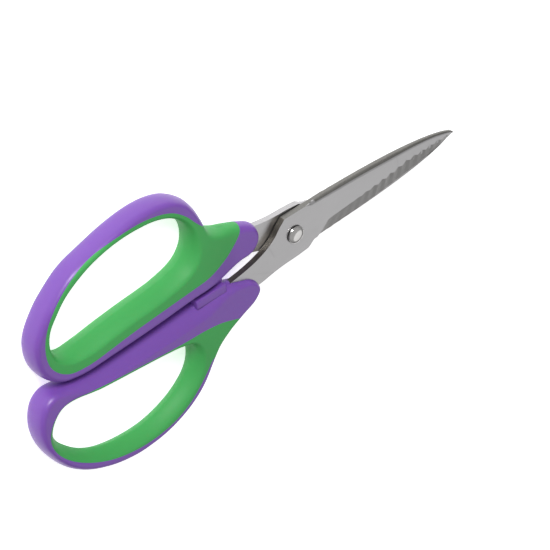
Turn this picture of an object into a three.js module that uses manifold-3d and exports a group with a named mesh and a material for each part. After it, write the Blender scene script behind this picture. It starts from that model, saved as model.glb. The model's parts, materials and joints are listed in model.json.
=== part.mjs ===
// Decorative edge scissors, closed and lying flat: two toothed steel blades on one rivet,
// each with a hard moulded handle and a soft liner round its finger hole.
// Millimetres. While the pieces are made, the rivet's axis is the Z axis, the tips point to +X
// and the blades meet at z = 0. The last lines stand the whole object on z = 0, centred in X and Y.
import * as THREE from "three";
import { mergeVertices } from "three/addons/utils/BufferGeometryUtils.js";
import Module from "manifold-3d";

const wasm = await Module();
wasm.setup();

// ---------------------------------------------------------------- driving dimensions

const GAP = 0.3; // between any two pieces that touch on the real scissors

const blade = {
  reach: 75.2, // rivet to tip
  spine: { width: 8.6, curve: 2.6, taper: 0.62 }, // from the rivet's axis to the back of the blade
  edge: { width: 8.3, curve: 1.9, taper: 0.75 }, // and to the cutting edge
  thickness: 2.35,
  tipThickness: 1.3,
  thinFrom: 40, // where the blade starts to thin towards the tip
  edgeThickness: 0.35, // left standing at the cutting edge
  bevelWidth: 5,
  bevelShare: 0.48, // most of the blade's width that the bevel takes near the tip
  hollow: 0.65, // how far the inner face is ground away behind the toothed band
  chamfer: 0.35, // along the back of the blade
  landShare: 0.05, // least of the width that the bevel takes, where it runs out
};

const teeth = {
  pitch: 3.9,
  height: 0.2, // half of the wave, crest to middle
  bevelWave: 0.5, // how far the same wave moves the bevel's inner border
  band: 4, // width of the toothed strip along the edge
  bandShare: 0.6, // most of the blade's width that the strip takes near the tip
  relief: 1, // from the strip to the hollow ground face
  reliefShare: 0.75, // most of the width that both take
  start: 14, // first tooth, from the rivet
  stepsPerTooth: 6,
};

const ricasso = {
  radius: 10.2, // where the plate around the rivet meets the ground blade
  step: 1.5, // length of the step down from the plate to the cutting edge
  lap: 0.3, // how far the ground blade reaches into the plate
  bevelEnd: 15.5, // where the bevel has its full width
  back: -4.5, // where the spine stops and the neck begins
  heel: 4.9, // where the ricasso stops on the edge side
  width: 8.9, // rivet's axis to the edge side of the ricasso
  choil: 1.2, // the edge starts this far inside its own outline
  choilEnd: 15,
};

// The plate behind the rivet, as seen from the outer face of the blade whose edge faces -Y.
const neck = [[-6.4, 6.2], [-9, 3.4], [-13, 0.8], [-18, -1.2], [-24, -2.6], [-31, -3.6]];
const belly = [[-31, -11.6], [-22, -11.5], [-16.5, -11.2], [-11.5, -10.3], [-6.5, -9.7], [0, -9.4]];
const tangEnd = [[-50, -4.9], [-53, -7], [-50, -9.2]];

const rivet = {
  shankRadius: 2.4,
  headRadius: 3.6,
  headRise: 1.3,
  tailRadius: 3.3,
  tailRise: 0.8,
  rim: 0.3, // upright border of the head, and chamfer of the tail
  washerRadius: 4.4,
  washerThickness: 0.6,
};

const handle = {
  half: 6, // half of the thickness along the spine of the handle
  ringHalf: 4.8, // half of the thickness round the outside of the loop
  noseHalf: 3.3, // half of the thickness at the nose
  noseOffset: 1.4, // the nose follows its own blade's plane
  rounding: 2.3, // edges of the handle, in plan
  roundingDepth: 3.8, // the same edges, through the thickness
  noseStart: -44, // where the handle starts to thin towards the nose
  noseEnd: -22,
  innerY: 16, // distances from the centre line between which the loop thins
  outerY: 34,
  buttStart: 88, // and distances behind the rivet between which it thins round the butt
  buttEnd: 106,
};

const stop = {
  back: -46,
  front: -33,
  halfHeight: 4.6,
  meetY: -0.4, // where the two ribs meet when the scissors are closed
  root: 3.5, // how deep each rib reaches into its handle
};

// ---------------------------------------------------------------- booleans

// A closed three.js geometry as a solid.
function solid(geometry) {
  const bare = geometry.index ? geometry.toNonIndexed() : geometry.clone();
  bare.deleteAttribute("normal");
  bare.deleteAttribute("uv");
  const merged = mergeVertices(bare, 1e-4);
  return new wasm.Manifold(
    new wasm.Mesh({
      numProp: 3,
      vertProperties: merged.attributes.position.array,
      triVerts: new Uint32Array(merged.index.array),
    }),
  );
}

// A solid as a geometry that three.js can draw.
function drawable(made) {
  const mesh = made.getMesh();
  const geometry = new THREE.BufferGeometry();
  geometry.setAttribute("position", new THREE.BufferAttribute(mesh.vertProperties, 3));
  geometry.setIndex(new THREE.BufferAttribute(mesh.triVerts, 1));
  geometry.computeVertexNormals();
  return geometry;
}

// ---------------------------------------------------------------- outlines and slabs

const toPoints = (pairs) => pairs.map(([x, y]) => new THREE.Vector2(x, y));
const lift = (points) => points.map((p) => new THREE.Vector3(p.x, p.y, 0));
const flatten = (points) => points.map((p) => new THREE.Vector2(p.x, p.y));

// A smooth closed curve through a few points, as evenly spaced points.
function closedCurve(pairs, count) {
  const curve = new THREE.CatmullRomCurve3(lift(toPoints(pairs)), true, "centripetal");
  return flatten(curve.getSpacedPoints(count).slice(0, count));
}

// A smooth open curve through a few points.
function openCurve(pairs, count) {
  const curve = new THREE.CatmullRomCurve3(lift(toPoints(pairs)), false, "centripetal");
  return flatten(curve.getSpacedPoints(count));
}

// The same outline moved outwards, or inwards where distance is negative.
function grown(points, distance) {
  const turn = THREE.ShapeUtils.isClockWise(points) ? -1 : 1;
  return points.map((p, i) => {
    const before = points[(i + points.length - 1) % points.length];
    const after = points[(i + 1) % points.length];
    const along = after.clone().sub(before).normalize();
    return new THREE.Vector2(p.x + turn * along.y * distance, p.y - turn * along.x * distance);
  });
}

// An outline that runs the way ExtrudeGeometry wants it round a hole.
function counterClockwise(points) {
  return THREE.ShapeUtils.isClockWise(points) ? points.slice().reverse() : points;
}

// The same outline turned over about the X axis.
const flipped = (points) => points.map((p) => new THREE.Vector2(p.x, -p.y)).reverse();

// A straight-sided solid from z = low to z = high.
function prism(points, low, high) {
  const geometry = new THREE.ExtrudeGeometry(new THREE.Shape(points), {
    depth: high - low,
    bevelEnabled: false,
  });
  geometry.translate(0, 0, low);
  return solid(geometry);
}

// A cylinder along Z from z = low to z = high.
function rod(radius, low, high) {
  const geometry = new THREE.CylinderGeometry(radius, radius, high - low, 40);
  geometry.rotateX(Math.PI / 2);
  geometry.translate(0, 0, (low + high) / 2);
  return solid(geometry);
}

// ---------------------------------------------------------------- blades

const mate = GAP / 2; // half of the running gap between the blades
const top = mate + blade.thickness; // outer face of a blade

// How far the spine (side 1) or the edge (side -1) lies from the rivet's axis, x mm along.
function reachAcross(x, side) {
  const { width, curve, taper } = side > 0 ? blade.spine : blade.edge;
  const share = THREE.MathUtils.clamp(x / blade.reach, 0, 1);
  return width * (1 - share ** curve) ** taper;
}

// The angle at which the circle of this radius meets the spine (side 1) or the edge (side -1).
function angleAt(radius, side) {
  let inside = 0;
  let outside = (side * Math.PI) / 2;
  for (let i = 0; i < 40; i++) {
    const angle = (inside + outside) / 2;
    const room = reachAcross(radius * Math.cos(angle), side) - side * radius * Math.sin(angle);
    if (room > 0) inside = angle;
    else outside = angle;
  }
  return inside;
}

// The outer face of the blade at this distance from the rivet.
function faceAt(radius) {
  const thin = THREE.MathUtils.smoothstep(radius, blade.thinFrom, blade.reach);
  return mate + THREE.MathUtils.lerp(blade.thickness, blade.tipThickness, thin);
}

// The wave of the teeth, from -1 to 1, the same all the way round each circle about the rivet,
// so that the two blades mesh however far they are open.
function toothWave(radius) {
  const fade = THREE.MathUtils.smoothstep(radius, teeth.start, teeth.start + teeth.pitch);
  return fade * Math.sin((2 * Math.PI * (radius - teeth.start)) / teeth.pitch);
}

// One cross-section of the ground blade, along the circle of this radius.
function bladeSection(radius, mesh) {
  const { lerp, smoothstep } = THREE.MathUtils;
  const choil = ricasso.choil * (1 - smoothstep(radius, ricasso.radius, ricasso.choilEnd));
  const edgeAngle = angleAt(radius, -1) + choil / radius;
  const spineAngle = angleAt(radius, 1);
  const width = radius * (spineAngle - edgeAngle);
  const wave = mesh * teeth.height * toothWave(radius);
  const runOut = smoothstep(radius, ricasso.radius, ricasso.radius + ricasso.step);
  const ground = smoothstep(radius, ricasso.radius, ricasso.bevelEnd);
  const hollow = blade.hollow * smoothstep(radius, ricasso.radius, teeth.start);
  const face = faceAt(radius);
  const edgeTop = lerp(face, mate + blade.edgeThickness, runOut) + wave;
  const fullBevel = Math.min(blade.bevelWidth, blade.bevelShare * width);
  const border = ground * (fullBevel - mesh * teeth.bevelWave * toothWave(radius));
  const bevel = Math.max(border, blade.landShare * width);
  const band = Math.min(teeth.band, teeth.bandShare * width);
  const relief = Math.min(band + teeth.relief, teeth.reliefShare * width);
  const backOfHollow = (width + relief) / 2;
  const chamfer = Math.min(blade.chamfer, blade.landShare * width);
  const sharp = blade.edgeThickness / 3; // least metal left at the edge of a tooth
  return [
    [0, mate + wave],
    [band, mate + wave],
    [relief, mate + hollow],
    [backOfHollow, mate + hollow],
    [width, mate],
    [width, face - chamfer],
    [width - chamfer, face],
    [bevel, face],
    [0, Math.max(edgeTop, mate + wave + sharp)],
  ].map(([along, z]) => {
    const angle = edgeAngle + along / radius;
    return [radius * Math.cos(angle), radius * Math.sin(angle), z];
  });
}

// The ground and toothed part of a blade, from the ricasso to the tip.
function groundBlade(mesh) {
  const first = ricasso.radius - ricasso.lap;
  const last = blade.reach - blade.tipThickness / 20;
  const steps = Math.round(((last - first) / teeth.pitch) * teeth.stepsPerTooth);
  const sections = [];
  for (let i = 0; i <= steps; i++) {
    sections.push(bladeSection(first + ((last - first) * i) / steps, mesh));
  }
  const positions = sections.flat(2);
  const around = sections[0].length;
  const faces = [];
  for (let i = 0; i < steps; i++) {
    for (let j = 0; j < around; j++) {
      const a = i * around + j;
      const b = i * around + ((j + 1) % around);
      faces.push(a, b, b + around, a, b + around, a + around);
    }
  }
  for (let j = 1; j < around - 1; j++) {
    const end = steps * around;
    faces.push(0, j + 1, j);
    faces.push(end, end + j, end + j + 1);
  }
  const geometry = new THREE.BufferGeometry();
  geometry.setAttribute("position", new THREE.Float32BufferAttribute(positions, 3));
  geometry.setIndex(faces);
  return solid(geometry);
}

// The plate round the rivet with its neck and tang.
function plateOutline() {
  const edgeEnd = angleAt(ricasso.radius, -1);
  const spineEnd = angleAt(ricasso.radius, 1);
  const arcSteps = 12;
  const arc = [];
  for (let i = 0; i <= arcSteps; i++) {
    const angle = THREE.MathUtils.lerp(edgeEnd, spineEnd, i / arcSteps);
    arc.push([ricasso.radius * Math.cos(angle), ricasso.radius * Math.sin(angle)]);
  }
  const corner = [ricasso.back + blade.chamfer * 2, blade.spine.width];
  return [
    ...toPoints([...arc, corner]),
    ...openCurve([[ricasso.back, blade.spine.width - blade.chamfer * 2], ...neck], 20),
    ...toPoints(tangEnd),
    ...openCurve([...belly, [ricasso.heel, -ricasso.width]], 14),
  ];
}

// mesh is 1 for the blade above z = 0 and -1 for the one that is turned over below it.
function makeBlade(mesh) {
  const plate = prism(plateOutline(), mate, top);
  return plate
    .add(groundBlade(mesh))
    .subtract(rod(rivet.shankRadius + GAP, 0, 2 * top));
}

// ---------------------------------------------------------------- rivet and washer

// A solid of revolution about Z from [radius, z] pairs that start and end on the axis.
function turned(profile, segments) {
  const geometry = new THREE.LatheGeometry(toPoints(profile), segments);
  geometry.rotateX(Math.PI / 2);
  return solid(geometry);
}

function makeRivet() {
  const seat = top + GAP;
  const tailTop = -top - GAP - rivet.washerThickness - GAP;
  const tail = tailTop - rivet.tailRise;
  const domeSteps = 8;
  const dome = [];
  for (let i = 0; i < domeSteps; i++) {
    const angle = ((i / domeSteps) * Math.PI) / 2;
    dome.push([
      rivet.headRadius * Math.cos(angle),
      seat + rivet.rim + (rivet.headRise - rivet.rim) * Math.sin(angle),
    ]);
  }
  dome.push([0, seat + rivet.headRise]);
  return turned(
    [
      [0, tail],
      [rivet.tailRadius - rivet.rim, tail],
      [rivet.tailRadius, tail + rivet.rim],
      [rivet.tailRadius, tailTop],
      [rivet.shankRadius, tailTop],
      [rivet.shankRadius, seat],
      [rivet.headRadius, seat],
      ...dome,
    ],
    40,
  );
}

function makeWasher() {
  const high = -top - GAP;
  const low = high - rivet.washerThickness;
  return rod(rivet.washerRadius, low, high).subtract(
    rod(rivet.shankRadius + GAP, 2 * low, 0),
  );
}

// ---------------------------------------------------------------- handles

// Each handle has its own outline, finger hole and liner seat, in plan.
const upper = {
  side: 1,
  outer: [
    [-14.8, 7.4], [-16.1, 12.6], [-20.9, 15.9], [-26.6, 18.6], [-31.6, 20.4], [-35.8, 23.3],
    [-37.9, 28.9], [-40.1, 34.7], [-43.6, 40.4], [-48.1, 44.4], [-54.5, 46.7], [-61.9, 47.5],
    [-71.8, 46.5], [-81.7, 44.1], [-92.1, 40.5], [-101.9, 33.7], [-107.7, 27.3],
    [-111.1, 20.9], [-112.1, 15.3], [-111.2, 9.2], [-108, 3.7], [-103, -0.3], [-97, -1.6],
    [-83.7, -1.2], [-63.7, -0.3], [-46, 0.9], [-33, 0.7], [-24, 1.3], [-19.3, 1.7], [-16, 4.1],
  ],
  hole: [
    [-104.4, 16.2], [-103.3, 22.1], [-99.9, 26.8], [-95.3, 31.7], [-86.1, 37.1], [-76.6, 40],
    [-66.6, 40.8], [-56.4, 39.5], [-49.7, 36.3], [-45.6, 31.6], [-44, 26.2], [-44.9, 20.1],
    [-48.4, 15.7], [-56.4, 13], [-71.5, 11.5], [-81.5, 10.4], [-91.6, 9], [-98.6, 8.5],
    [-102.9, 11.1],
  ],
  seat: [
    [-19.9, 18.8], [-21.5, 14.8], [-24.6, 11.3], [-29.4, 8.8], [-36, 7.6], [-45.6, 6.8],
    [-53.9, 6.2], [-73.9, 4.6], [-84, 3.4], [-94, 2.4], [-99.9, 2.9], [-104, 5.6], [-106.9, 10],
    [-107.7, 15.9], [-106.5, 22.3], [-102.7, 29.5], [-92.6, 38.2], [-82.6, 42.1], [-67.5, 44.1],
    [-57.6, 43.1], [-50.4, 40.4], [-45.2, 35.8], [-41, 30.2], [-37.9, 26.8], [-33.7, 25.3],
    [-26.8, 23.8],
  ],
};

const lower = {
  side: -1,
  outer: [
    [-19.1, -12.1], [-22, -15.5], [-28.2, -18.2], [-33.5, -20.8], [-38, -24.3],
    [-41, -29.2], [-44.3, -34.5], [-48, -38.7], [-53, -42.4], [-57.9, -44.9], [-62.7, -46.7],
    [-67.6, -47.8], [-72.5, -48.4], [-77.5, -48.5], [-82.5, -47.9], [-87.5, -46.8], [-92.6, -45],
    [-97.6, -42.7], [-102.5, -39.4], [-107.1, -35.1], [-111.5, -28.9], [-114.4, -22.4],
    [-115.5, -15.9], [-114.6, -9.9], [-112.2, -5.3], [-107.8, -2.8], [-101, -3.1],
    [-84, -4], [-64, -3.4], [-46, -2.5], [-36, -1.9], [-30, -3.3], [-26.1, -5],
    [-22.1, -6.6], [-19.8, -9.2],
  ],
  hole: [
    [-108.4, -20.4], [-107.2, -16], [-104.1, -12.5], [-99.4, -11.2], [-92.7, -11.2],
    [-82.7, -12.1], [-72.8, -13], [-62.8, -14], [-55, -15.2], [-50.1, -17.2],
    [-48.5, -21.4], [-49.5, -26.5], [-52.6, -31.1], [-57.7, -35.4], [-63.4, -38.2], [-70.4, -40.1],
    [-77.9, -40.4], [-86.9, -39.2], [-93.9, -36.8], [-99.9, -33], [-104.3, -28.7],
    [-107.3, -24.7],
  ],
  seat: [
    [-25.8, -22.7], [-28.7, -18.2], [-33.2, -15.9], [-38.1, -14], [-44.1, -13], [-54.1, -12.6],
    [-64.1, -12], [-74.1, -11.2], [-84.1, -10.1], [-94.1, -8.9], [-101.1, -8.4], [-106.7, -10.3],
    [-110.5, -14.4], [-111.8, -19.8], [-110.1, -26.1], [-105.3, -32.5], [-98.4, -38],
    [-91.4, -41.6], [-84.5, -43.7], [-77, -44.8], [-69.5, -44.6], [-62, -43],
    [-55.3, -39.8], [-50, -35.5], [-45.9, -31], [-42.8, -27.2], [-38.3, -26.4], [-32.3, -25.6],
  ],
};

// How thick the handle is at a place, and how far its middle lies from the middle plane.
function handleDepth(x, y) {
  const { lerp, smoothstep } = THREE.MathUtils;
  const outside = smoothstep(Math.abs(y), handle.innerY, handle.outerY);
  const butt = smoothstep(-x, handle.buttStart, handle.buttEnd);
  const ring = Math.max(outside, butt);
  const nose = smoothstep(x, handle.noseStart, handle.noseEnd);
  const half = lerp(lerp(handle.half, handle.ringHalf, ring), handle.noseHalf, nose);
  return { half, offset: handle.noseOffset * nose };
}

// The whole handle, shell and liner together, with round edges.
function handleBody(form) {
  const outer = counterClockwise(closedCurve(form.outer, 76));
  const shape = new THREE.Shape(grown(outer, -handle.rounding));
  shape.holes.push(new THREE.Path(grown(closedCurve(form.hole, 60), handle.rounding)));
  const geometry = new THREE.ExtrudeGeometry(shape, {
    depth: 2 * (handle.half - handle.roundingDepth),
    bevelThickness: handle.roundingDepth,
    bevelSize: handle.rounding,
    bevelSegments: 3,
  });
  const position = geometry.attributes.position;
  for (let i = 0; i < position.count; i++) {
    const share = (position.getZ(i) - (handle.half - handle.roundingDepth)) / handle.half;
    const { half, offset } = handleDepth(position.getX(i), position.getY(i));
    position.setZ(i, share * half - form.side * offset);
  }
  return solid(geometry);
}

// The rib on the inner side of a handle that meets the other handle's rib.
function stopRib(side) {
  const near = stop.meetY + (side * GAP) / 2;
  const rib = new THREE.BoxGeometry(stop.front - stop.back, stop.root, 2 * stop.halfHeight);
  rib.translate((stop.front + stop.back) / 2, near + (side * stop.root) / 2, 0);
  return solid(rib);
}

// The slot that a blade's tang fills inside its handle.
function tangSlot(side) {
  const slot = grown(plateOutline(), GAP);
  return side > 0
    ? prism(flipped(slot), -top - GAP, -mate + GAP)
    : prism(slot, mate - GAP, top + GAP);
}

// The hard shell and the soft liner of one handle.
function makeHandle(form) {
  const seat = closedCurve(form.seat, 72);
  const body = handleBody(form);
  const slot = tangSlot(form.side);
  const depth = 2 * handle.half;
  return {
    shell: body
      .subtract(prism(grown(seat, GAP), -depth, depth))
      .add(stopRib(form.side))
      .subtract(slot),
    liner: body.intersect(prism(seat, -depth, depth)).subtract(slot),
  };
}

// ---------------------------------------------------------------- assembly

const steel = { color: 0xa6a4a6, roughness: 0.32, metalness: 1 };
const rivetSteel = { color: 0xb4b3b2, roughness: 0.2, metalness: 1 };
const hardPlastic = { color: 0x7e57ab, roughness: 0.35, metalness: 0 };
const softRubber = { color: 0x47a458, roughness: 0.6, metalness: 0 };

function piece(name, made, finish) {
  const mesh = new THREE.Mesh(drawable(made), new THREE.MeshStandardMaterial(finish));
  mesh.name = name;
  return mesh;
}

const upperHandle = makeHandle(upper);
const lowerHandle = makeHandle(lower);

// The half whose blade lies underneath and whose handle is on the +Y side, with the rivet.
const backHalf = new THREE.Group();
const backBlade = piece("back_blade", makeBlade(-1), steel);
backBlade.rotation.x = Math.PI;
backHalf.add(
  backBlade,
  piece("back_handle_shell", upperHandle.shell, hardPlastic),
  piece("back_handle_liner", upperHandle.liner, softRubber),
  piece("pivot_rivet", makeRivet(), rivetSteel),
  piece("rivet_washer", makeWasher(), steel),
);

// The half whose blade lies on top and whose handle is on the -Y side.
const frontHalf = new THREE.Group();
frontHalf.add(
  piece("front_blade", makeBlade(1), steel),
  piece("front_handle_shell", lowerHandle.shell, hardPlastic),
  piece("front_handle_liner", lowerHandle.liner, softRubber),
);

const scissors = new THREE.Group();
scissors.add(backHalf, frontHalf);
scissors.updateMatrixWorld(true);
const box = new THREE.Box3().setFromObject(scissors);
const centre = box.getCenter(new THREE.Vector3());
scissors.position.set(-centre.x, -centre.y, -box.min.z);

export default scissors;
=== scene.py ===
"""Decorative edge scissors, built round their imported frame: ground and toothed blades, a domed
rivet with its washer, and two hard handles with soft liners. Outlines and sections are in
millimetres about the rivet's axis, on the plane where the blades meet; every finished piece is
brought into the frame, in metres."""

import json
import math

import bmesh
import bpy
import numpy as np
from mathutils import Matrix, Vector


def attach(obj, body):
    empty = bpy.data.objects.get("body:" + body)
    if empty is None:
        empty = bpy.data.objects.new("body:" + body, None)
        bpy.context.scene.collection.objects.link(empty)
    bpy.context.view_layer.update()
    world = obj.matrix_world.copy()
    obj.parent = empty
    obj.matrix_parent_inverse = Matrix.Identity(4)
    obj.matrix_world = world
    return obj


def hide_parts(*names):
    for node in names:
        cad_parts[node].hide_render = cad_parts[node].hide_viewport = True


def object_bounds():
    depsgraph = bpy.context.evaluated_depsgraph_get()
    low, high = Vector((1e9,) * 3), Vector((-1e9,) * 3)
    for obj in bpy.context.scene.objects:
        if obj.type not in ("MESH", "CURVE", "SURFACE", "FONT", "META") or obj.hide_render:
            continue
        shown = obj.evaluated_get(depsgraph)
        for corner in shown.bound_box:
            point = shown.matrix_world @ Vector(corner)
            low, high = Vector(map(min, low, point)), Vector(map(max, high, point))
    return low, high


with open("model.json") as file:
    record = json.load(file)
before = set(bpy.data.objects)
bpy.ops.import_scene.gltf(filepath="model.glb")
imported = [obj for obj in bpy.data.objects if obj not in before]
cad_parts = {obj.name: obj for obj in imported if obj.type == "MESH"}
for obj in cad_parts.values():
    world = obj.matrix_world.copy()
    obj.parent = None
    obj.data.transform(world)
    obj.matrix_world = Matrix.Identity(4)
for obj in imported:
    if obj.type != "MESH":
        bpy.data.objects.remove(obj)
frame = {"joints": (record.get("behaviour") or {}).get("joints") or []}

bl_info = {
    "name": "Decorative Edge Scissors",
    "version": (1, 0, 0),
    "blender": (4, 5, 0),
    "location": "View3D > Sidebar > Scissors",
    "description": "Builds a closed pair of decorative edge scissors and a small studio for it",
    "category": "Add Mesh",
}

MM = 0.001
CAD_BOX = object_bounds()
PIVOT = Vector(frame["joints"][0]["pos_m"])
INTO_FRAME = Matrix.Translation(PIVOT) @ Matrix.Scale(MM, 4)

# ---------------------------------------------------------------- outlines, mm about the rivet

UPPER = {
    "side": 1,
    "outer": [
        (-14.8, 7.4), (-16.1, 12.3), (-20.9, 15.5), (-26.6, 18.1), (-31.6, 20.0), (-35.8, 23.3),
        (-37.7, 28.9), (-39.9, 34.7), (-43.4, 40.2), (-48.1, 44.2), (-54.5, 46.5), (-61.9, 47.2),
        (-71.8, 46.1), (-81.7, 43.6), (-92.0, 39.9), (-101.5, 33.1), (-107.4, 26.8),
        (-111.0, 20.6), (-112.0, 15.2), (-111.2, 9.0), (-108.0, 3.4), (-103.0, -0.5),
        (-97.0, -1.7), (-83.7, -1.3), (-63.7, -0.4), (-46.0, 0.9), (-33.0, 0.7), (-24.0, 1.3),
        (-19.3, 1.7), (-16.0, 4.1),
    ],
    "hole": [
        (-104.4, 16.2), (-103.3, 22.1), (-99.9, 26.8), (-95.3, 31.7), (-86.1, 37.0),
        (-76.6, 39.8), (-66.6, 40.6), (-56.4, 39.3), (-49.7, 36.1), (-45.6, 31.5),
        (-44.0, 26.2), (-44.9, 20.1), (-48.4, 15.7), (-56.4, 13.0), (-71.5, 11.5),
        (-81.5, 10.4), (-91.6, 9.0), (-98.6, 8.5), (-102.9, 11.1),
    ],
    "seat": [
        (-20.4, 18.8), (-22.0, 14.6), (-24.9, 11.2), (-29.4, 8.6), (-36.0, 7.3), (-45.6, 6.6),
        (-53.9, 6.0), (-73.9, 4.4), (-84.0, 3.2), (-94.0, 2.2), (-99.9, 2.7), (-104.0, 5.4),
        (-106.9, 9.9), (-107.7, 15.9), (-106.4, 22.3), (-102.5, 29.3), (-92.6, 37.9),
        (-82.6, 41.8), (-67.5, 43.8), (-57.6, 42.8), (-50.4, 40.1), (-45.2, 35.6), (-41.0, 30.0),
        (-37.9, 26.8), (-33.7, 25.3), (-26.8, 23.8),
    ],
}

LOWER = {
    "side": -1,
    "outer": [
        (-19.1, -12.1), (-22.0, -15.6), (-28.2, -18.4), (-33.5, -21.0), (-38.0, -24.5),
        (-41.2, -29.2), (-44.5, -34.3), (-48.2, -38.4), (-53.1, -42.1), (-57.9, -44.6),
        (-62.7, -46.4), (-67.6, -47.6), (-72.5, -48.2), (-77.5, -48.4), (-82.5, -47.9),
        (-87.5, -46.9), (-92.6, -45.2), (-97.7, -42.9), (-102.7, -39.6), (-107.3, -35.2),
        (-111.5, -28.9), (-114.3, -22.4), (-115.3, -15.9), (-114.4, -9.9), (-112.0, -5.4),
        (-107.8, -2.9), (-101.0, -3.1), (-84.0, -4.0), (-64.0, -3.4), (-46.0, -2.5),
        (-36.0, -1.9), (-30.0, -3.3), (-26.1, -5.0), (-22.1, -6.8), (-19.8, -9.2),
    ],
    "hole": [
        (-108.4, -20.4), (-107.2, -16.0), (-104.1, -12.5), (-99.4, -11.2), (-92.7, -11.2),
        (-82.7, -12.1), (-72.8, -13.0), (-62.8, -14.0), (-55.0, -15.2), (-50.1, -17.2),
        (-48.5, -21.4), (-49.5, -26.5), (-52.6, -31.1), (-57.7, -35.4), (-63.4, -38.2),
        (-70.4, -40.1), (-77.9, -40.4), (-86.9, -39.2), (-93.9, -36.8), (-99.9, -33.0),
        (-104.3, -28.7), (-107.3, -24.7),
    ],
    "seat": [
        (-25.6, -22.9), (-28.7, -18.3), (-33.2, -16.0), (-38.1, -14.1), (-44.1, -13.0),
        (-54.1, -12.5), (-64.1, -11.7), (-74.1, -10.7), (-84.1, -9.7), (-94.1, -8.7),
        (-101.1, -8.4), (-106.7, -10.3), (-110.5, -14.4), (-111.8, -19.8), (-110.1, -26.1),
        (-105.3, -32.5), (-98.4, -38.0), (-91.4, -41.6), (-84.5, -43.7), (-77.0, -44.8),
        (-69.5, -44.6), (-62.0, -43.0), (-55.3, -39.8), (-50.0, -35.5), (-45.9, -31.0),
        (-42.8, -27.2), (-38.3, -26.6), (-32.3, -25.8),
    ],
}

NECK = [(-4.5, 7.9), (-6.4, 6.2), (-9, 3.4), (-13, 0.8), (-18, -1.2), (-24, -2.6), (-31, -3.6)]
TANG_END = [(-50, -4.9), (-53, -7), (-50, -9.2)]
BELLY = [(-31, -11.6), (-22, -11.5), (-16.5, -11.2), (-11.5, -10.3), (-6.5, -9.7), (0, -9.4),
         (4.9, -8.9)]


def smoothstep(x, low, high):
    """From 0 at low to 1 at high, level at both ends."""
    share = np.clip((x - low) / (high - low), 0, 1)
    return share * share * (3 - 2 * share)


def through(points, closed, per_span=24):
    """A smooth curve through a few points: centripetal, so that it never loops."""
    points = np.array(points, float)
    count = len(points)
    ends = [] if closed else [points[-1:]]
    u = np.linspace(0, 1, per_span, endpoint=False)[:, None]
    spans = []
    for i in range(count if closed else count - 1):
        b, c = points[i], points[(i + 1) % count]
        a = points[i - 1] if closed or i > 0 else 2 * b - c
        d = points[(i + 2) % count] if closed or i + 2 < count else 2 * c - b
        ab, bc, cd = (math.sqrt(math.dist(p, q)) for p, q in ((a, b), (b, c), (c, d)))
        out = (c - b) + bc * ((b - a) / ab - (c - a) / (ab + bc))
        into = (c - b) + bc * ((d - c) / cd - (d - b) / (bc + cd))
        spans.append(
            b * (2 * u**3 - 3 * u**2 + 1) + out * (u**3 - 2 * u**2 + u)
            + c * (3 * u**2 - 2 * u**3) + into * (u**3 - u**2)
        )
    return np.vstack(spans + ends)


def evenly(points, count, closed=True):
    """The same curve as evenly spaced points."""
    path = np.vstack([points, points[:1]]) if closed else points
    along = np.concatenate([[0], np.cumsum(np.linalg.norm(np.diff(path, axis=0), axis=1))])
    at = np.linspace(0, along[-1], count, endpoint=not closed)
    return np.stack([np.interp(at, along, path[:, k]) for k in (0, 1)], 1)


def area(points):
    """Signed area of an outline, positive when it runs counter-clockwise."""
    x, y = points.T
    return 0.5 * float(np.sum(x * np.roll(y, -1) - np.roll(x, -1) * y))


def grown(points, distance):
    """The same outline moved outwards."""
    turn = 1 if area(points) > 0 else -1
    along = np.roll(points, -1, 0) - np.roll(points, 1, 0)
    along /= np.linalg.norm(along, axis=1)[:, None]
    return points + turn * distance * np.stack([along[:, 1], -along[:, 0]], 1)


def distance_to(points, outline):
    """How far each point lies from a closed outline."""
    start, step = outline, np.roll(outline, -1, 0) - outline
    length = (step**2).sum(1)
    found = np.empty(len(points))
    for at in range(0, len(points), 4000):
        away = points[at:at + 4000, None, :] - start[None]
        share = np.clip((away * step).sum(2) / length, 0, 1)
        gap = away - share[..., None] * step
        found[at:at + 4000] = np.sqrt((gap**2).sum(2).min(1))
    return found


# ---------------------------------------------------------------- meshes, in mm

def drop(obj):
    """Removes an object together with its mesh."""
    mesh = obj.data
    bpy.data.objects.remove(obj)
    bpy.data.meshes.remove(mesh)


def raw(name, vertices, faces):
    """A plain mesh object that pieces are cut from."""
    mesh = bpy.data.meshes.new(name)
    mesh.from_pydata([tuple(map(float, v)) for v in vertices], [], faces)
    made = bmesh.new()
    made.from_mesh(mesh)
    bmesh.ops.recalc_face_normals(made, faces=made.faces)
    made.to_mesh(mesh)
    made.free()
    obj = bpy.data.objects.new(name, mesh)
    bpy.context.scene.collection.objects.link(obj)
    return obj


def prism(outline, low, high, name="prism"):
    """A straight-sided solid over an outline."""
    count = len(outline)
    vertices = [(x, y, low) for x, y in outline] + [(x, y, high) for x, y in outline]
    faces = [list(range(count))[::-1], list(range(count, 2 * count))]
    for i in range(count):
        j = (i + 1) % count
        faces.append([i, j, j + count, i + count])
    return raw(name, vertices, faces)


def combine(obj, tool, operation):
    """Joins, cuts or crosses obj with tool, and drops the tool."""
    modifier = obj.modifiers.new(operation, "BOOLEAN")
    modifier.operation = operation
    modifier.solver = "EXACT"
    modifier.object = tool
    settle(obj)
    drop(tool)
    return obj


def settle(obj):
    """Applies an object's modifiers."""
    depsgraph = bpy.context.evaluated_depsgraph_get()
    mesh = bpy.data.meshes.new_from_object(obj.evaluated_get(depsgraph))
    old = obj.data
    obj.modifiers.clear()
    obj.data = mesh
    bpy.data.meshes.remove(old)


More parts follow.
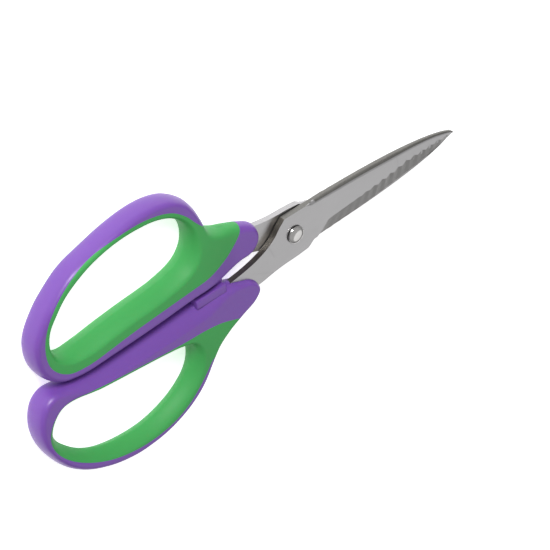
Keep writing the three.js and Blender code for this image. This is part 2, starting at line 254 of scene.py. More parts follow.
def soften(obj, width, angle, segments=2):
    """Breaks the sharp edges, as a tumbled or moulded piece has them."""
    modifier = obj.modifiers.new("Broken edges", "BEVEL")
    modifier.width = width
    modifier.segments = segments
    modifier.limit_method = "ANGLE"
    modifier.angle_limit = math.radians(angle)
    settle(obj)


def finish_piece(obj, name, body, node, materials, crease):
    """Brings a piece made in mm into the frame, shades it and lets it ride on its body."""
    obj.name = name
    obj.data.name = name
    obj.data.transform(INTO_FRAME)
    obj.data.materials.clear()
    for material in materials:
        obj.data.materials.append(material)
    obj.data.shade_smooth()
    obj.data.set_sharp_from_angle(angle=math.radians(crease))
    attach(obj, body)
    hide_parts(node)


# ---------------------------------------------------------------- shader groups

def node_group(name, inputs, outputs):
    """An empty node group with typed inputs and outputs."""
    tree = bpy.data.node_groups.new(name, "ShaderNodeTree")
    for socket, kind, default in inputs:
        made = tree.interface.new_socket(socket, in_out="INPUT", socket_type=f"NodeSocket{kind}")
        made.default_value = default
    for socket, kind in outputs:
        tree.interface.new_socket(socket, in_out="OUTPUT", socket_type=f"NodeSocket{kind}")
    return tree, tree.nodes.new("NodeGroupInput"), tree.nodes.new("NodeGroupOutput")


def math_node(tree, operation, first, second):
    """A maths node fed by links or numbers, as its output."""
    node = tree.nodes.new("ShaderNodeMath")
    node.operation = operation
    for socket, value in zip(node.inputs, (first, second)):
        if isinstance(value, (int, float)):
            socket.default_value = value
        else:
            tree.links.new(value, socket)
    return node.outputs[0]


def grain_group():
    """Fine grain, stretched along one direction: brushed lines, moulded grain, rubber tooth."""
    tree, inside, out = node_group(
        "Fine grain",
        [("Scale", "Float", 1000.0), ("Stretch", "Vector", (1, 1, 1)), ("Detail", "Float", 4.0)],
        [("Grain", "Float")],
    )
    place = tree.nodes.new("ShaderNodeTexCoord")
    stretch = tree.nodes.new("ShaderNodeVectorMath")
    stretch.operation = "MULTIPLY"
    noise = tree.nodes.new("ShaderNodeTexNoise")
    noise.inputs["Roughness"].default_value = 0.6
    tree.links.new(place.outputs["Object"], stretch.inputs[0])
    tree.links.new(inside.outputs["Stretch"], stretch.inputs[1])
    tree.links.new(stretch.outputs[0], noise.inputs["Vector"])
    tree.links.new(inside.outputs["Scale"], noise.inputs["Scale"])
    tree.links.new(inside.outputs["Detail"], noise.inputs["Detail"])
    tree.links.new(noise.outputs["Fac"], out.inputs["Grain"])
    return tree


def tone_group():
    """Lets a colour drift lighter and darker over the piece."""
    tree, inside, out = node_group(
        "Tone drift",
        [("Colour", "Color", (0.5, 0.5, 0.5, 1)), ("Scale", "Float", 60.0),
         ("Amount", "Float", 0.1)],
        [("Colour", "Color")],
    )
    place = tree.nodes.new("ShaderNodeTexCoord")
    noise = tree.nodes.new("ShaderNodeTexNoise")
    noise.inputs["Detail"].default_value = 2.0
    centred = math_node(tree, "SUBTRACT", noise.outputs["Fac"], 0.5)
    level = math_node(tree, "MULTIPLY", centred, inside.outputs["Amount"])
    factor = math_node(tree, "MULTIPLY_ADD", level, 2.0)
    factor.node.inputs[2].default_value = 1.0
    scale = tree.nodes.new("ShaderNodeVectorMath")
    scale.operation = "SCALE"
    tree.links.new(place.outputs["Object"], noise.inputs["Vector"])
    tree.links.new(inside.outputs["Scale"], noise.inputs["Scale"])
    tree.links.new(inside.outputs["Colour"], scale.inputs[0])
    tree.links.new(factor, scale.inputs["Scale"])
    tree.links.new(scale.outputs[0], out.inputs["Colour"])
    return tree


def marks_group():
    """Sparse hairline marks from use, 1 on a mark and 0 beside it."""
    tree, inside, out = node_group(
        "Hairline marks",
        [("Scale", "Float", 200.0), ("Width", "Float", 0.02)],
        [("Mask", "Float")],
    )
    place = tree.nodes.new("ShaderNodeTexCoord")
    turn = tree.nodes.new("ShaderNodeMapping")
    turn.inputs["Rotation"].default_value = (0.3, 0.2, 0.6)
    turn.inputs["Scale"].default_value = (0.12, 1.0, 1.0)
    cells = tree.nodes.new("ShaderNodeTexVoronoi")
    cells.feature = "DISTANCE_TO_EDGE"
    ramp = tree.nodes.new("ShaderNodeMapRange")
    ramp.inputs["From Min"].default_value = 0.0
    ramp.inputs["To Min"].default_value = 1.0
    ramp.inputs["To Max"].default_value = 0.0
    tree.links.new(place.outputs["Object"], turn.inputs["Vector"])
    tree.links.new(turn.outputs["Vector"], cells.inputs["Vector"])
    tree.links.new(inside.outputs["Scale"], cells.inputs["Scale"])
    tree.links.new(cells.outputs["Distance"], ramp.inputs["Value"])
    tree.links.new(inside.outputs["Width"], ramp.inputs["From Max"])
    tree.links.new(ramp.outputs["Result"], out.inputs["Mask"])
    return tree


GROUPS = {"Fine grain": grain_group, "Tone drift": tone_group, "Hairline marks": marks_group}


def place_group(tree, name, **values):
    """Puts a shared group into a material with its own values."""
    if name not in bpy.data.node_groups:
        GROUPS[name]()
    node = tree.nodes.new("ShaderNodeGroup")
    node.node_tree = bpy.data.node_groups[name]
    for socket, value in values.items():
        node.inputs[socket].default_value = value
    return node


def new_material(name, colour, drift, rough, bump, metallic=0.0, marks=None, **constants):
    """A Principled material: drifting colour, grain in roughness and bump, a few hairline marks.

    drift is (scale, amount), rough (mean, spread), bump (scale, stretch, height in metres) and
    marks (scale, width, roughness added)."""
    material = bpy.data.materials.new(name)
    material.use_nodes = True
    tree = material.node_tree
    shader = tree.nodes["Principled BSDF"]
    shader.inputs["Metallic"].default_value = metallic
    for socket, value in constants.items():
        shader.inputs[socket.replace("_", " ")].default_value = value
    tone = place_group(tree, "Tone drift", Colour=(*colour, 1), Scale=drift[0], Amount=drift[1])
    grain = place_group(tree, "Fine grain", Scale=bump[0], Stretch=bump[1], Detail=4.0)
    tree.links.new(tone.outputs["Colour"], shader.inputs["Base Color"])
    spread = math_node(tree, "MULTIPLY_ADD", grain.outputs["Grain"], rough[1])
    spread.node.inputs[2].default_value = rough[0] - rough[1] / 2
    if marks:
        lines = place_group(tree, "Hairline marks", Scale=marks[0], Width=marks[1])
        worn = math_node(tree, "MULTIPLY", lines.outputs["Mask"], marks[2])
        spread = math_node(tree, "ADD", spread, worn)
    tree.links.new(spread, shader.inputs["Roughness"])
    relief = tree.nodes.new("ShaderNodeBump")
    relief.inputs["Distance"].default_value = bump[2]
    relief.inputs["Strength"].default_value = 1.0
    tree.links.new(grain.outputs["Grain"], relief.inputs["Height"])
    tree.links.new(relief.outputs["Normal"], shader.inputs["Normal"])
    return material


# ---------------------------------------------------------------- settings

class ScissorsHandleSettings(bpy.types.PropertyGroup):
    shell_colour: bpy.props.FloatVectorProperty(
        name="Shell colour", description="Hard plastic of the handles", subtype="COLOR",
        default=(0.16, 0.062, 0.34), min=0, max=1)
    liner_colour: bpy.props.FloatVectorProperty(
        name="Liner colour", description="Soft rubber round the finger holes", subtype="COLOR",
        default=(0.05, 0.32, 0.08), min=0, max=1)
    half: bpy.props.FloatProperty(
        name="Half thickness", description="Half of the handle's thickness along its spine",
        default=6.0 * MM, unit="LENGTH")
    ring_half: bpy.props.FloatProperty(
        name="Half ring thickness", description="Half of the thickness round the loop",
        default=4.8 * MM, unit="LENGTH")
    nose_half: bpy.props.FloatProperty(
        name="Half nose thickness", description="Half of the thickness at the nose",
        default=3.3 * MM, unit="LENGTH")


class ScissorsBladeSettings(bpy.types.PropertyGroup):
    steel_colour: bpy.props.FloatVectorProperty(
        name="Steel colour", description="Ground faces of the blades", subtype="COLOR",
        default=(0.43, 0.425, 0.43), min=0, max=1)
    # Partly real, partly painted shade: the blanked sides are duller, and their colour is also
    # made darker to stand for shade.
    blanked_and_shaded_colour: bpy.props.FloatVectorProperty(
        name="Blanked colour", description="Dull sides of the blades, left as they were blanked, and darker as painted shade",
        subtype="COLOR", default=(0.20, 0.196, 0.184), min=0, max=1)
    # Partly real, partly painted shade: the bevel's grind lines and roughness are its own, and its
    # darker colour stands for shade.
    bevel_shaded_colour: bpy.props.FloatVectorProperty(
        name="Bevel colour", description="Ground bevels along the cutting edges, darker as painted shade",
        subtype="COLOR", default=(0.27, 0.265, 0.26), min=0, max=1)
    # Painted shade: the neck and tang walls are coloured darker than the ground faces to stand for
    # the shade on them.
    neck_shaded_colour: bpy.props.FloatVectorProperty(
        name="Neck colour", description="Walls of the necks and tangs, darker as painted shade",
        subtype="COLOR", default=(0.125, 0.115, 0.10), min=0, max=1)
    tooth_pitch: bpy.props.FloatProperty(
        name="Tooth pitch", description="Distance from tooth to tooth", default=3.9 * MM,
        unit="LENGTH")
    broken_edge: bpy.props.FloatProperty(
        name="Broken edge", description="Width of the smallest chamfers", default=0.12 * MM,
        unit="LENGTH")


class ScissorsStageSettings(bpy.types.PropertyGroup):
    floor_colour: bpy.props.FloatVectorProperty(
        name="Floor colour", description="Pale paper sweep", subtype="COLOR",
        default=(0.93, 0.93, 0.935), min=0, max=1)
    azimuth: bpy.props.FloatProperty(
        name="Camera azimuth", description="Round from the tips' direction",
        default=math.radians(126.4), subtype="ANGLE")
    elevation: bpy.props.FloatProperty(
        name="Camera elevation", description="Above the floor", default=math.radians(39),
        subtype="ANGLE")
    roll: bpy.props.FloatProperty(
        name="Camera roll", description="Tilt of the picture", default=math.radians(-7.556),
        subtype="ANGLE")
    distance: bpy.props.FloatProperty(
        name="Camera distance", description="From the camera to the scissors", default=1.2,
        unit="LENGTH")
    view_width: bpy.props.FloatProperty(
        name="View width", description="Width of the picture at the scissors",
        default=0.18854, unit="LENGTH")


# ---------------------------------------------------------------- blades

GROUND = {
    "reach": 75.6, "spine": (8.6, 2.6, 0.62), "edge": (8.3, 1.9, 0.75), "thickness": 2.35,
    "tip_thickness": 1.3, "thin_from": 40.0, "edge_thickness": 0.35, "bevel": 6.2,
    "bevel_share": 0.54, "hollow": 0.65, "spine_round": 1.9,
}
TEETH = {"height": 0.2, "bevel_wave": 0.38, "start": 14.0, "band": 4.0, "steps": 20}
RICASSO = {"radius": 10.2, "step": 1.5, "bevel_end": 15.5, "choil": 1.2, "choil_end": 15.0}
MATE = 0.15
TOP = MATE + GROUND["thickness"]


def reach_across(x, side):
    """How far the spine (1) or the edge (-1) lies from the rivet's axis."""
    width, curve, taper = GROUND["spine"] if side > 0 else GROUND["edge"]
    share = min(max(x / GROUND["reach"], 0.0), 1.0)
    return width * (1 - share**curve) ** taper


def angle_at(radius, side):
    """Where the circle of this radius about the rivet meets the spine or the edge."""
    inside, outside = 0.0, side * math.pi / 2
    for _ in range(40):
        angle = (inside + outside) / 2
        room = reach_across(radius * math.cos(angle), side) - side * radius * math.sin(angle)
        if room > 0:
            inside = angle
        else:
            outside = angle
    return inside


def tooth_wave(radius, pitch):
    """The teeth, from -1 to 1: pointed crests, alike all the way round each circle."""
    phase = 2 * math.pi * (radius - TEETH["start"]) / pitch
    fade = float(smoothstep(radius, TEETH["start"], TEETH["start"] + pitch))
    return fade * (math.sin(phase) - math.sin(3 * phase) / 9)


def blade_section(radius, mesh, pitch):
    """One cross-section of the ground blade, along the circle of this radius."""
    choil_fade = float(smoothstep(radius, RICASSO["radius"], RICASSO["choil_end"]))
    choil = RICASSO["choil"] * (1 - choil_fade)
    edge_angle = angle_at(radius, -1) + choil / radius
    width = radius * (angle_at(radius, 1) - edge_angle)
    wave = tooth_wave(radius, pitch)
    lift = mesh * TEETH["height"] * wave
    run_out = float(smoothstep(radius, RICASSO["radius"], RICASSO["radius"] + RICASSO["step"]))
    ground = float(smoothstep(radius, RICASSO["radius"], RICASSO["bevel_end"]))
    hollow = GROUND["hollow"] * float(smoothstep(radius, RICASSO["radius"], TEETH["start"]))
    thin = float(smoothstep(radius, GROUND["thin_from"], GROUND["reach"]))
    face = MATE + GROUND["thickness"] + (GROUND["tip_thickness"] - GROUND["thickness"]) * thin
    edge_top = face + (MATE + GROUND["edge_thickness"] - face) * run_out + 0.3 * lift
    full = min(GROUND["bevel"], GROUND["bevel_share"] * width)
    pointed = float(smoothstep(radius, 22, 42))
    ripple = min(TEETH["bevel_wave"], 0.2 * full) * pointed * wave
    bevel = max(ground * (full - mesh * ripple), 0.05 * width)
    slope = 0.7 * max(ground * full, 0.05 * width)
    band = min(TEETH["band"], 0.6 * width)
    relief = min(band + 1.0, 0.75 * width)
    full_round = min(GROUND["spine_round"], 0.25 * width, 0.8 * (face - MATE))
    spine_round = max(full_round * run_out, 0.02)
    corner = [(width - spine_round * (1 - math.cos(a)),
               face - 0.8 * spine_round * (1 - math.sin(a)))
              for a in np.linspace(0, math.pi / 2, 7)]
    return [
        (radius, edge_angle + along / radius, z)
        for along, z in (
            (0, MATE + lift), (band, MATE + lift), (relief, MATE + hollow),
            ((width + relief) / 2, MATE + hollow), (width, MATE), *corner, (bevel, face),
            (slope, 0.3 * edge_top + 0.7 * face),
            (0, max(edge_top, MATE + lift + GROUND["edge_thickness"] / 3)),
        )
    ]


def ground_blade(mesh, pitch):
    """The ground and toothed part of a blade, from the ricasso to the tip."""
    first, last = RICASSO["radius"] - 0.3, GROUND["reach"] - 0.05
    count = round((last - first) / (pitch / TEETH["steps"]))
    rings = [blade_section(first + (last - first) * i / count, mesh, pitch)
             for i in range(count + 1)]
    around = len(rings[0])
    vertices = [(r * math.cos(a), r * math.sin(a), z) for ring in rings for r, a, z in ring]
    faces = [list(range(around)), list(range(count * around, (count + 1) * around))[::-1]]
    for i in range(count):
        for j in range(around):
            a, b = i * around + j, i * around + (j + 1) % around
            faces.append([a, a + around, b + around, b])
    return raw("ground_blade", vertices, faces)


def plate_outline():
    """The plate round the rivet with its neck and tang."""
    edge_end, spine_end = angle_at(RICASSO["radius"], -1), angle_at(RICASSO["radius"], 1)
    arc = [(RICASSO["radius"] * math.cos(a), RICASSO["radius"] * math.sin(a))
           for a in np.linspace(edge_end, spine_end, 25)]
    corner = (NECK[0][0] + 0.7, GROUND["spine"][0])
    neck = evenly(through(NECK, False), 50, closed=False)
    belly = evenly(through(BELLY, False), 36, closed=False)
    return np.vstack([arc, [corner], neck, TANG_END, belly])


def circle(radius, count=72):
    """A circle about the rivet's axis."""
    turn = np.linspace(0, 2 * math.pi, count, endpoint=False)
    return np.stack([radius * np.cos(turn), radius * np.sin(turn)], 1)


def make_blade(mesh, pitch, edge):
    """One blade; the one with mesh -1 is turned over about the X axis."""
    made = prism(plate_outline(), MATE, TOP)
    combine(made, ground_blade(mesh, pitch), "UNION")
    combine(made, prism(circle(2.7), 0, 2 * TOP), "DIFFERENCE")
    soften(made, edge, 40)
    if mesh < 0:
        made.data.transform(Matrix.Rotation(math.pi, 4, "X"))
    return made


def mark_faces(obj, mesh):
    """Walls and rounded spine get the blanked steel, duller and darker as painted shade; the outer
    bevel the ground bevel steel, darker as painted shade, and the neck walls the darkest steel,
    painted shade."""
    for polygon in obj.data.polygons:
        place = (polygon.center - PIVOT) / MM
        across, out = place.y * mesh, place.z * mesh
        lean = abs(polygon.normal.z)
        # Painted shade, partly: walls and rounded spine on the spine side take the darker blanked
        # steel.
        if lean < 0.9 and across > 0 and place.x > RICASSO["radius"] and out > MATE + 0.05:
            polygon.material_index = 1
        # Painted shade: upright walls at the neck take the darkest steel, and the front blade's
        # other upright walls take the blanked steel.
        elif lean < 0.35 and mesh > 0:
            polygon.material_index = 3 if place.x < -4 else 1
        # Painted shade, partly: the sloped outer bevel on the edge side takes the darker bevel
        # steel.
        elif lean < 0.985 and across < 0.5 and out > MATE + 0.2 and place.x > RICASSO["radius"]:
            polygon.material_index = 2


class SCISSORS_OT_blades(bpy.types.Operator):
    """Build the two blades, ground, toothed and meshing on the rivet's axis"""

    bl_idname = "scissors.blades"
    bl_label = "Blades"

    def execute(self, context):
        settings = context.scene.scissors_blades
        ground = new_material(
            "Ground steel", settings.steel_colour, (45.0, 0.05), (0.36, 0.10),
            (900.0, (0.35, 9.0, 1.0), 0.000004), metallic=1.0, marks=(130.0, 0.006, 0.10),
            Anisotropic=0.35)
        # Rougher blanked finish, with a darker colour that is painted shade on the walls and
        # rounded spine.
        sides = new_material(
            "Blanked steel, painted shade", settings.blanked_and_shaded_colour, (160.0, 0.16), (0.48, 0.14),
            (1400.0, (1.0, 1.0, 0.3), 0.00001), metallic=1.0)
        # Ground bevel finish, with a darker colour that is painted shade.
        bevel = new_material(
            "Bevel steel, painted shade", settings.bevel_shaded_colour, (90.0, 0.08), (0.44, 0.12),
            (1300.0, (9.0, 0.5, 1.0), 0.000006), metallic=1.0, marks=(160.0, 0.006, 0.08))
        # Painted shade: a much darker copy of the blade steel for the upright walls of the neck.
        neck = new_material(
            "Neck steel, painted shade", settings.neck_shaded_colour, (120.0, 0.18), (0.5, 0.14),
            (1400.0, (1.0, 1.0, 0.3), 0.00001), metallic=1.0)
        pitch, edge = settings.tooth_pitch / MM, settings.broken_edge / MM
        for name, mesh in (("front", 1), ("back", -1)):
            blade = make_blade(mesh, pitch, edge)
            finish_piece(blade, f"{name}_blade_ground", f"{name}_half", f"{name}_blade",
                         (ground, sides, bevel, neck), 14)
            mark_faces(blade, mesh)
        return {"FINISHED"}


# ---------------------------------------------------------------- rivet and washer

def turned(profile, name, segments=96):
    """A solid of revolution about the rivet's axis from (radius, z) pairs."""
    made = bmesh.new()
    points = [made.verts.new((radius, 0, z)) for radius, z in profile]
    edges = [made.edges.new(pair) for pair in zip(points, points[1:])]
    bmesh.ops.spin(made, geom=points + edges, cent=(0, 0, 0), axis=(0, 0, 1),
                   angle=2 * math.pi, steps=segments, use_duplicate=False)
    bmesh.ops.remove_doubles(made, verts=made.verts, dist=0.0005)
    bmesh.ops.recalc_face_normals(made, faces=made.faces)
    mesh = bpy.data.meshes.new(name)
    made.to_mesh(mesh)
    made.free()
    obj = bpy.data.objects.new(name, mesh)
    bpy.context.scene.collection.objects.link(obj)
    return obj


def rounded(outer, low, rise, steps=14):
    """A dome's outline from its rim up to the axis."""
    return [(outer * math.cos(a), low + rise * math.sin(a))
            for a in np.linspace(0, math.pi / 2, steps, endpoint=False)] + [(0, low + rise)]


class SCISSORS_OT_rivet(bpy.types.Operator):
    """Build the polished rivet and its spring washer"""

    bl_idname = "scissors.rivet"
    bl_label = "Rivet"

    def execute(self, context):
        polished = new_material(
            "Polished steel", (0.58, 0.57, 0.56), (300.0, 0.04), (0.13, 0.05),
            (2500.0, (1, 1, 1), 0.000001), metallic=1.0, marks=(420.0, 0.012, 0.10))
        spring = new_material(
            "Spring steel", (0.42, 0.41, 0.40), (220.0, 0.10), (0.38, 0.12),
            (1800.0, (1, 1, 0.2), 0.000004), metallic=1.0)
        gap, head, tail, shank, washer, thick = 0.3, 3.35, 3.3, 2.4, 4.4, 0.6
        seat = TOP + gap
        under = -TOP - 2 * gap - thick
        profile = [
            (0, under - 0.8), (1.9, under - 0.8), (2.5, under - 0.68), (tail - 0.15, under - 0.35),
            (tail, under - 0.15), (tail, under), (shank, under), (shank, seat),
            (head - 0.06, seat), (head, seat + 0.06),
        ]
        rivet = turned(profile + rounded(head, seat + 0.2, 1.1), "rivet")
        finish_piece(rivet, "rivet_polished", "back_half", "pivot_rivet",
                     (polished,), 35)
        high, low = -TOP - gap, under + gap
        ring = turned(
            [(2.75, low), (washer - 0.1, low), (washer, low + 0.1), (washer, high - 0.1),
             (washer - 0.1, high), (2.75, high), (2.75, low)], "washer")
        finish_piece(ring, "washer_spring", "back_half", "rivet_washer",
                     (spring,), 30)
        return {"FINISHED"}


# ---------------------------------------------------------------- handles

STATIONS = 420
ACROSS = 44
RIB = {"back": -46.0, "front": -33.0, "high": 4.5, "low": 2.9, "meet": -0.4, "gap": 0.15,
       "root": 3.5}


def handle_half(points, settings):
    """Half thickness at each place, with how far it is part of the loop and of the nose."""
    x, y = points.T
    ring = np.maximum(smoothstep(abs(y), 14, 34), smoothstep(-x, 88, 106))
    nose = smoothstep(x, -44, -22)
    thick = settings.half + (settings.ring_half - settings.half) * ring
    return (thick + (settings.nose_half - thick) * nose) / MM, ring, nose


def round_off(distance, radius, power, fullness):
    """Height share at this distance from an edge: an ellipse where fullness is 0.5 and power 2,
    nearly a straight slope where both are closer to 1; level from radius on."""
    share = 1 - np.clip(distance / radius, 0, 1)
    return np.clip(1 - share**power, 0, 1) ** fullness


def matched_hole(outer, hole):
    """For each point of the outer outline, its partner on the hole, keeping their order."""
    if area(hole) * area(outer) < 0:
        hole = hole[::-1]
    count = len(hole)
    nearest = np.argmin(((outer[:, None] - hole[None]) ** 2).sum(2), axis=1) / count
    turn = np.maximum.accumulate(np.unwrap(nearest * 2 * math.pi) / (2 * math.pi))
    even = turn[0] + np.arange(len(outer)) / len(outer)
    at = (0.72 * turn + 0.28 * even) % 1.0 * count
    low = np.floor(at).astype(int)
    share = (at - low)[:, None]
    return hole[low % count] * (1 - share) + hole[(low + 1) % count] * share


def handle_body(form, settings):
    """Shell and liner in one, as a ring of cross-sections from the hole to the outside."""
    outer = evenly(through(form["outer"], True), STATIONS)
    outer[:, 0] += 0.9 * smoothstep(outer[:, 0], -42, -22)
    outer[:, 1] -= 0.5 * smoothstep(outer[:, 1], 38, 44)
    shoulder = smoothstep(outer[:, 0], -34, -24) * smoothstep(outer[:, 1], 8, 12)
    outer[:, 1] -= 0.4 * shoulder
    hole = evenly(through(form["hole"], True), 3 * STATIONS)
    inner = matched_hole(outer, hole)
    share = (1 - np.cos(np.linspace(0, math.pi, ACROSS + 1))) / 2
    plan = inner[:, None] * (1 - share[None, :, None]) + outer[:, None] * share[None, :, None]
    flat = plan.reshape(-1, 2)
    half, ring, nose = handle_half(flat, settings)
    slit = (1 - ring) * (1 - nose) * smoothstep(flat[:, 1], -12, -8) * (form["side"] < 0)
    facet = nose * smoothstep(flat[:, 1], 8, 14)
    outside = round_off(distance_to(flat, outer), 2.6 - 0.9 * nose + 4.2 * slit + 1.6 * facet,
                        2.4 - 0.7 * slit, 0.5 + 0.12 * slit)
    wall = ring if form["side"] < 0 else 1 - ring
    inside = round_off(distance_to(flat, hole[::3]), 1.9 + (1.7 + 0.3 * ring) * wall,
                       2.0 - 0.5 * wall, 0.5 + 0.25 * wall)
    height = (half * outside * inside).reshape(STATIONS, -1)
    middle = (-form["side"] * 1.4 * nose).reshape(STATIONS, -1)
    height[:, 0] = 0
    height[:, -1] = 0
    around = 2 * ACROSS
    vertices = np.empty((STATIONS, around, 3))
    vertices[:, :ACROSS + 1, :2] = plan
    vertices[:, :ACROSS + 1, 2] = middle + height
    vertices[:, ACROSS + 1:, :2] = plan[:, ACROSS - 1:0:-1]
    vertices[:, ACROSS + 1:, 2] = (middle - height)[:, ACROSS - 1:0:-1]
    faces = []
    for i in range(STATIONS):
        k = (i + 1) % STATIONS
        for j in range(around):
            n = (j + 1) % around
            faces.append([i * around + j, k * around + j, k * around + n, i * around + n])
    return raw("handle", vertices.reshape(-1, 3), faces)


def tang_slot(side):
    """The slot that the tang fills: the blade's own plate, a hair larger."""
    ease = 0.06
    outline = grown(plate_outline(), ease)
    if side > 0:
        outline = outline * (1, -1)
        return prism(outline, -TOP - ease, -MATE + ease)
    return prism(outline, MATE - ease, TOP + ease)


def stop_rib(side):
    """The rib that meets the other handle's rib when the scissors close."""
    near = RIB["meet"] + side * RIB["gap"]
    far = near + side * RIB["root"]
    corners = [(RIB["back"], near), (RIB["front"], near), (RIB["front"], far), (RIB["back"], far)]
    levels = sorted((side * RIB["low"], -side * RIB["high"]))
    rib = prism(np.array(corners), *levels)
    soften(rib, 0.35, 30, 3)
    return rib


def make_handle(form, settings):
    """The hard shell and the soft liner of one handle."""
    seat = evenly(through(form["seat"], True), 300)
    shell = handle_body(form, settings)
    liner = raw("liner", [v.co for v in shell.data.vertices],
                [list(p.vertices) for p in shell.data.polygons])
    combine(shell, prism(grown(seat, 0.02), -12, 12), "DIFFERENCE")
    combine(shell, stop_rib(form["side"]), "UNION")
    combine(shell, tang_slot(form["side"]), "DIFFERENCE")
    combine(liner, prism(seat, -12, 12), "INTERSECT")
    combine(liner, tang_slot(form["side"]), "DIFFERENCE")
    return shell, liner


class SCISSORS_OT_handles(bpy.types.Operator):
    """Build both handles: hard shells with stop ribs, and soft liners in their loops"""

    bl_idname = "scissors.handles"
    bl_label = "Handles"

    def execute(self, context):
        settings = context.scene.scissors_handles
        plastic = new_material(
            "Moulded plastic", settings.shell_colour, (35.0, 0.06), (0.34, 0.08),
            (2600.0, (1, 1, 1), 0.000006), marks=(90.0, 0.004, 0.06),
            Specular_IOR_Level=0.38, Subsurface_Weight=0.06, Subsurface_Scale=0.001)
        rubber = new_material(
            "Soft rubber", settings.liner_colour, (40.0, 0.07), (0.52, 0.10),
            (1900.0, (1, 1, 1), 0.00001), Subsurface_Weight=0.08, Subsurface_Scale=0.001,
            Specular_IOR_Level=0.25)
        for name, form in (("back", UPPER), ("front", LOWER)):
            shell, liner = make_handle(form, settings)
            finish_piece(shell, f"{name}_shell_moulded", f"{name}_half", f"{name}_handle_shell",
                         (plastic,), 40)
            finish_piece(liner, f"{name}_liner_moulded", f"{name}_half", f"{name}_handle_liner",
                         (rubber,), 40)
        return {"FINISHED"}


# ---------------------------------------------------------------- stage

def area_light(name, position, size, power):
    """A round soft light that faces the scissors."""
    data = bpy.data.lights.new(name, "AREA")
    data.shape = "DISK"
    data.size = size
    data.energy = power
    light = bpy.data.objects.new(name, data)
    light.location = position
    light.rotation_euler = (-Vector(position)).to_track_quat("-Z", "Y").to_euler()
    bpy.context.scene.collection.objects.link(light)


def make_floor(colour, radius=4.0, rings=24, spokes=96):
    """A pale sweep that rises gently far from the scissors."""
    made = bmesh.new()
    centre = made.verts.new((0, 0, 0))
    last = None
    for ring in range(1, rings + 1):
        r = radius * (ring / rings) ** 2
        z = 0.35 * float(smoothstep(r, 1.5, radius)) ** 2
        loop = [made.verts.new((r * math.cos(t), r * math.sin(t), z))
                for t in np.linspace(0, 2 * math.pi, spokes, endpoint=False)]
        for i in range(spokes):
            k = (i + 1) % spokes
            made.faces.new((centre, loop[i], loop[k]) if last is None
                           else (last[i], loop[i], loop[k], last[k]))
        last = loop
    mesh = bpy.data.meshes.new("floor")
    made.to_mesh(mesh)
    made.free()
    floor = bpy.data.objects.new("floor", mesh)
    floor.location.z = CAD_BOX[0].z - 0.0001
    mesh.shade_smooth()
    mesh.materials.append(new_material(
        "Paper sweep", colour, (3.0, 0.01), (0.9, 0.04), (900.0, (1, 1, 1), 0.00001),
        Emission_Color=(1, 1, 1, 1), Emission_Strength=0.65))
    bpy.context.scene.collection.objects.link(floor)


def make_world():
    """Soft studio surroundings: dimmer at the horizon, brighter overhead."""
    world = bpy.data.worlds.new("Studio")
    world.use_nodes = True
    tree = world.node_tree
    place = tree.nodes.new("ShaderNodeTexCoord")
    split = tree.nodes.new("ShaderNodeSeparateXYZ")
    ramp = tree.nodes.new("ShaderNodeValToRGB")
    ramp.color_ramp.elements[0].position = 0.0
    ramp.color_ramp.elements[0].color = (0.35, 0.35, 0.36, 1)
    ramp.color_ramp.elements[1].position = 0.8
    ramp.color_ramp.elements[1].color = (1.6, 1.6, 1.6, 1)
    tree.links.new(place.outputs["Generated"], split.inputs[0])
    tree.links.new(split.outputs["Z"], ramp.inputs["Fac"])
    tree.links.new(ramp.outputs["Color"], tree.nodes["Background"].inputs["Color"])
    tree.nodes["Background"].inputs["Strength"].default_value = 0.34
    bpy.context.scene.world = world


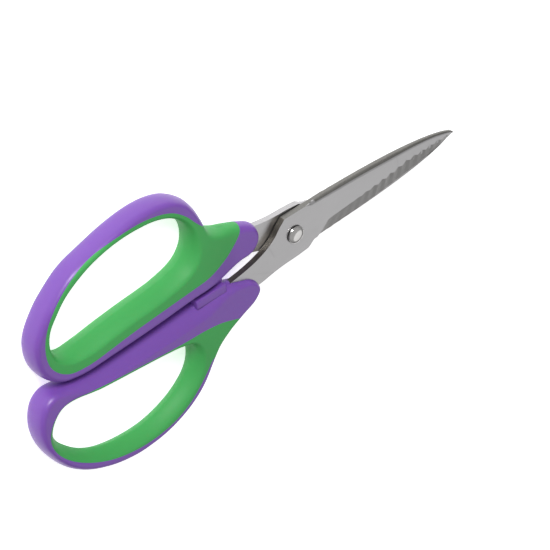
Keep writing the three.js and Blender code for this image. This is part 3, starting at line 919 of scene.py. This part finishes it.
def make_camera(settings):
    """A long lens from behind the butt, looking along the scissors to their tips."""
    target = PIVOT + Vector((-8.893, -13.911, 0)) * MM
    level = math.cos(settings.elevation)
    back = Vector((level * math.cos(settings.azimuth), level * math.sin(settings.azimuth),
                   math.sin(settings.elevation)))
    side = Vector((0, 1, 0)).cross(back).normalized()
    over = back.cross(side)
    cos, sin = math.cos(settings.roll), math.sin(settings.roll)
    right, up = side * cos + over * sin, over * cos - side * sin
    data = bpy.data.cameras.new("camera")
    data.sensor_width = 36.0
    data.lens = data.sensor_width * settings.distance / settings.view_width
    data.clip_start, data.clip_end = 0.05, 20.0
    camera = bpy.data.objects.new("camera", data)
    camera.matrix_world = Matrix.Translation(target + back * settings.distance) @ Matrix(
        (right, up, back)).transposed().to_4x4()
    bpy.context.scene.collection.objects.link(camera)
    bpy.context.scene.camera = camera


class SCISSORS_OT_stage(bpy.types.Operator):
    """Set the pale floor, the soft studio light and the camera"""

    bl_idname = "scissors.stage"
    bl_label = "Stage"

    def execute(self, context):
        settings = context.scene.scissors_stage
        make_floor(settings.floor_colour)
        make_world()
        area_light("key", (-0.5, 1.2, 0.75), 0.5, 20.0)
        area_light("card", (0.75, -0.95, 0.98), 1.1, 2.0)
        make_camera(settings)
        context.scene.view_settings.view_transform = "Standard"
        return {"FINISHED"}


# ---------------------------------------------------------------- add-on

STEPS = (SCISSORS_OT_stage, SCISSORS_OT_blades, SCISSORS_OT_rivet, SCISSORS_OT_handles)


class SCISSORS_PT_panel(bpy.types.Panel):
    """Sidebar panel with every step and its settings"""

    bl_idname = "SCISSORS_PT_panel"
    bl_label = "Scissors"
    bl_space_type = "VIEW_3D"
    bl_region_type = "UI"
    bl_category = "Scissors"

    def draw(self, context):
        for step in STEPS:
            self.layout.operator(step.bl_idname)
        for name in SETTINGS:
            group = getattr(context.scene, name)
            for prop in group.bl_rna.properties.keys():
                if prop not in ("rna_type", "name"):
                    self.layout.prop(group, prop)


SETTINGS = {
    "scissors_stage": ScissorsStageSettings,
    "scissors_blades": ScissorsBladeSettings,
    "scissors_handles": ScissorsHandleSettings,
}


def register():
    for name, settings in SETTINGS.items():
        bpy.utils.register_class(settings)
        setattr(bpy.types.Scene, name, bpy.props.PointerProperty(type=settings))
    for step in (*STEPS, SCISSORS_PT_panel):
        bpy.utils.register_class(step)


def unregister():
    for step in (SCISSORS_PT_panel, *reversed(STEPS)):
        bpy.utils.unregister_class(step)
    for name, settings in SETTINGS.items():
        delattr(bpy.types.Scene, name)
        bpy.utils.unregister_class(settings)


def main():
    register()
    bpy.ops.scissors.stage()
    bpy.ops.scissors.blades()
    bpy.ops.scissors.rivet()
    bpy.ops.scissors.handles()


if __name__ == "__main__":
    main()
